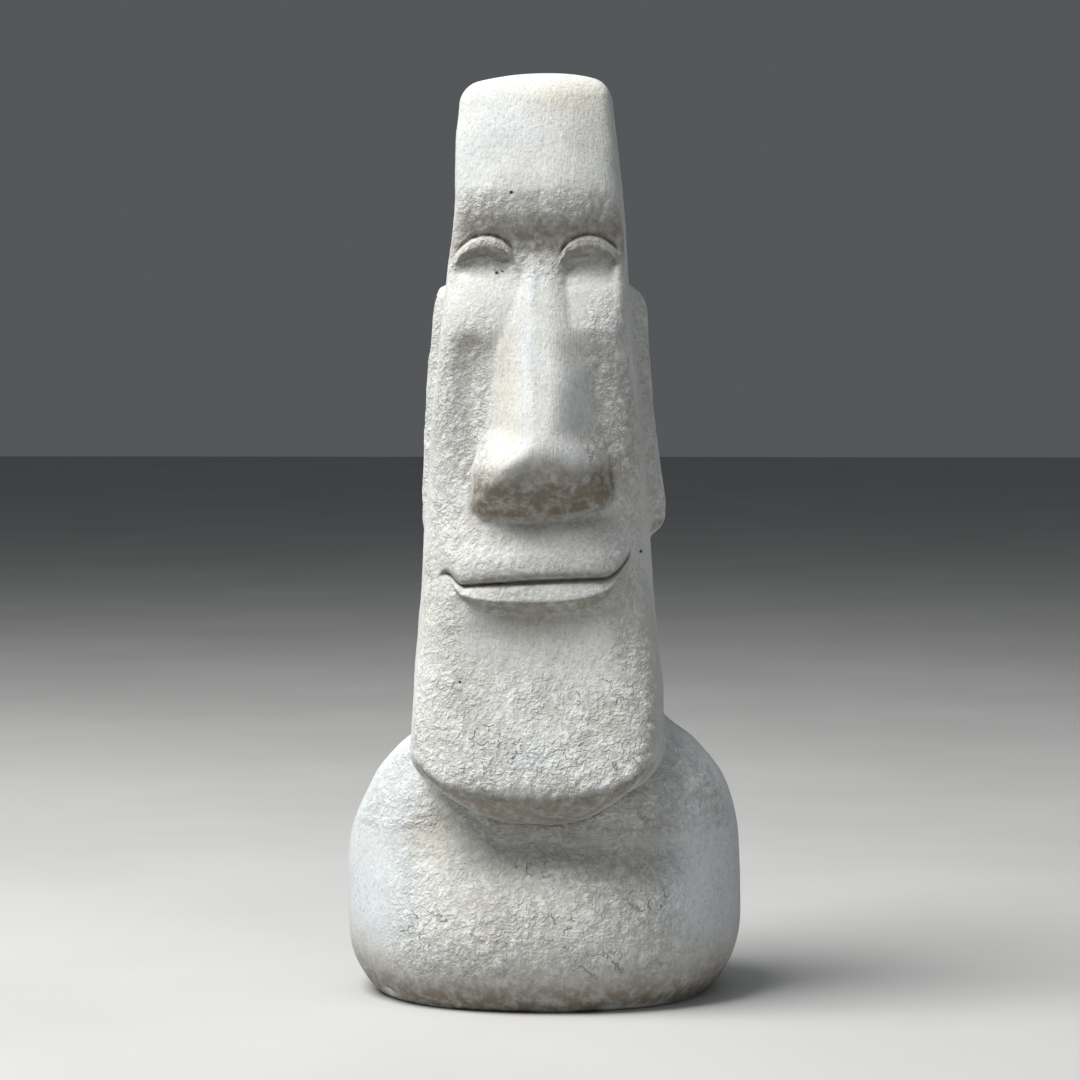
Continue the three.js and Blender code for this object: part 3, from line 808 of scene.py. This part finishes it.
def stone_material():
    """Pale grey cast stone: warm where stained, brown dirt and painted shade in its creases and
    under its overhangs, painted shade between its crumbs, painted highlights on their crests, and
    a cool pale painted light where light falls brightly.
    """
    n = Nodes("cast_stone")
    place = n.add("TexCoord").outputs["Object"]
    names = ("dirt_and_shade", "rough", "lumps", "chip", "stain_and_painted_light", "folds", "cracked")
    dirt_and_shade, rough, lumps, chip, stain_and_painted_light, folds, cracked = (n.mask(name) for name in names)
    smooth = n.spread(rough, 0.55, 0.15)
    billow = n.math("ABSOLUTE", n.math("SUBTRACT", n.noise(place, 300, 2, 0.55), 0.5), 0)
    crumb = n.spread(billow, 0.0, 0.17)
    sand = n.noise(place, 560, 3, 0.7)
    fold = n.noise(n.stretched(place, LEVEL), 420, 2, 0.55)
    stroke = n.noise(n.stretched(place, (1, 1, 0.13)), 900, 3, 0.6)
    crack = crack_lines(n, place, cracked)
    speck = dark_specks(n, place)

    height = n.times(n.times(crumb, rough), 0.42)
    layers = (                    # what, where, and its height in millimetres
        (sand, n.spread(rough, 0, 1, 0.35, 1), 0.62),
        (fold, folds, 0.8),
        (stroke, smooth, 0.34),
        (crack, 1.0, -0.6),
        (speck, 1.0, -0.5),
    )
    for layer, amount, tall in layers:
        height = n.math("ADD", height, n.times(n.times(layer, amount), tall))
    surface = n.add("Bump", Height=height, Strength=1.0, Distance=MM)
    n.put(n.shader.inputs["Normal"], surface.outputs[0])

    clouds = n.spread(n.noise(place, 26, 5, 0.6), 0.36, 0.64)
    uneven = n.spread(n.noise(place, 190, 4, 0.65), 0.34, 0.6, 0.55, 1)
    rim = broken_rim(n, place, sand, clouds)
    coats = (                     # how much of each colour lies over the ones before it
        # painted light, cool and pale, on brightly lit faces
        (n.spread(stain_and_painted_light, 0.0, -1.0, 0, 0.75), COOL_PAINTED_LIGHT),
        (n.spread(stain_and_painted_light, 0.05, 1.0, 0, 0.5), STAINED),
        # painted shade between the crumbs and painted highlights on their crests
        (n.times(n.times(n.spread(lumps, 0.2, -0.9), rough), 0.34), CRUMB_VALLEY_SHADE),
        (n.times(n.times(n.spread(crumb, 0.6, 0.0), rough), 0.36), CRUMB_GAP_SHADE),
        (n.times(n.times(n.spread(lumps, 0.2, 1.1), rough), 0.5), CREST_HIGHLIGHT),
        (n.spread(stroke, 0.5, 0.3, 0, 0.35), BRUSHED),
        (n.spread(sand, 0.55, 0.70, 0, 0.5), SAND_PALE),
        (n.spread(sand, 0.46, 0.30, 0, 0.5), SAND_DARK),
        # brown dirt and painted shade
        (n.times(n.times(dirt_and_shade, uneven), 0.9), DIRT_AND_SHADE),
        (n.times(crack, 0.4), CRACK),
        (speck, SPECK),
        (n.math("MAXIMUM", n.times(chip, 0.9), rim), BROKEN),
    )
    colour = n.mix(clouds, STONE_DARK, STONE_PALE)
    for share, coat in coats:
        colour = n.mix(share, colour, coat)
    n.put(n.shader.inputs["Base Color"], colour)

    dull = n.spread(sand, 0.3, 0.7, 0.80, 0.96)
    n.put(n.shader.inputs["Roughness"], n.math("SUBTRACT", dull, n.times(smooth, 0.1)))
    n.shader.inputs["Specular IOR Level"].default_value = 0.3
    return n.material


FLOOR_DARK = (0.46, 0.46, 0.455)
FLOOR_PALE = (0.50, 0.50, 0.495)


def floor_material():
    n = Nodes("pale_floor")
    place = n.add("TexCoord").outputs["Object"]
    tone = n.spread(n.noise(place, 3, 3), 0.3, 0.7)
    n.put(n.shader.inputs["Base Color"], n.mix(tone, FLOOR_DARK, FLOOR_PALE))
    n.shader.inputs["Roughness"].default_value = 0.85
    return n.material


# ---- Floor, light and camera -------------------------------------------------------------------
FLOOR_HALF = 14.0                 # metres
CAMERA_TURN = math.radians(3.3)   # to the right
CAMERA_DISTANCE = 3.7             # times the statue's height, from its axis
CAMERA_HEIGHT = 0.65              # times the statue's height
CAMERA_TILT = math.radians(2.457)  # down
CAMERA_PAN = math.radians(0.068)  # to the left
CAMERA_LENS = 112.63              # millimetres
CAMERA_SENSOR = 36                # millimetres


def build_floor():
    mesh = bpy.data.meshes.new("floor")
    half = FLOOR_HALF
    corners = [(-half, -half, 0), (half, -half, 0), (half, half, 0), (-half, half, 0)]
    mesh.from_pydata(corners, [], [(0, 1, 2, 3)])
    mesh.materials.append(floor_material())
    floor = bpy.data.objects.new("floor", mesh)
    bpy.context.scene.collection.objects.link(floor)


def softbox(name, place, size, watts, colour):
    """A square light that faces the middle of the statue; place and size are in metres."""
    data = bpy.data.lights.new(name, "AREA")
    data.size = size
    data.energy = watts
    data.color = colour
    light = bpy.data.objects.new(name, data)
    light.location = place
    light.rotation_mode = "QUATERNION"
    aim = Vector((0, 0, HEIGHT * MM / 2)) - Vector(place)
    light.rotation_quaternion = aim.to_track_quat("-Z", "Y")
    bpy.context.scene.collection.objects.link(light)


def build_light():
    softbox("key", (-0.9, -0.4, 1.9), 1.2, 72, (1.0, 0.99, 0.97))
    softbox("overhead", (0, 0, 2.2), 2.5, 8, (0.95, 0.98, 1.0))
    softbox("fill", (1.2, -1.0, 1.6), 1.2, 4, (0.95, 0.98, 1.0))
    world = bpy.data.worlds.new("studio")
    world.use_nodes = True
    sky = world.node_tree.nodes["Background"]
    sky.inputs["Color"].default_value = (0.9, 0.95, 1.0, 1)
    sky.inputs["Strength"].default_value = 0.1
    bpy.context.scene.world = world


def build_camera():
    data = bpy.data.cameras.new("camera")
    data.sensor_width = CAMERA_SENSOR
    data.lens = CAMERA_LENS
    camera = bpy.data.objects.new("camera", data)
    tall = HEIGHT * MM
    away = CAMERA_DISTANCE * tall
    camera.location = (away * math.sin(CAMERA_TURN), -away * math.cos(CAMERA_TURN),
                       CAMERA_HEIGHT * tall)
    camera.rotation_euler = (math.pi / 2 - CAMERA_TILT, 0, CAMERA_TURN + CAMERA_PAN)
    bpy.context.scene.collection.objects.link(camera)
    bpy.context.scene.camera = camera


build_camera()
build_light()
build_floor()
bpy.context.scene.view_settings.view_transform = "Standard"

statue = build_statue()
statue.data.materials.append(stone_material())
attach(statue, "root")
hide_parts(NODE)
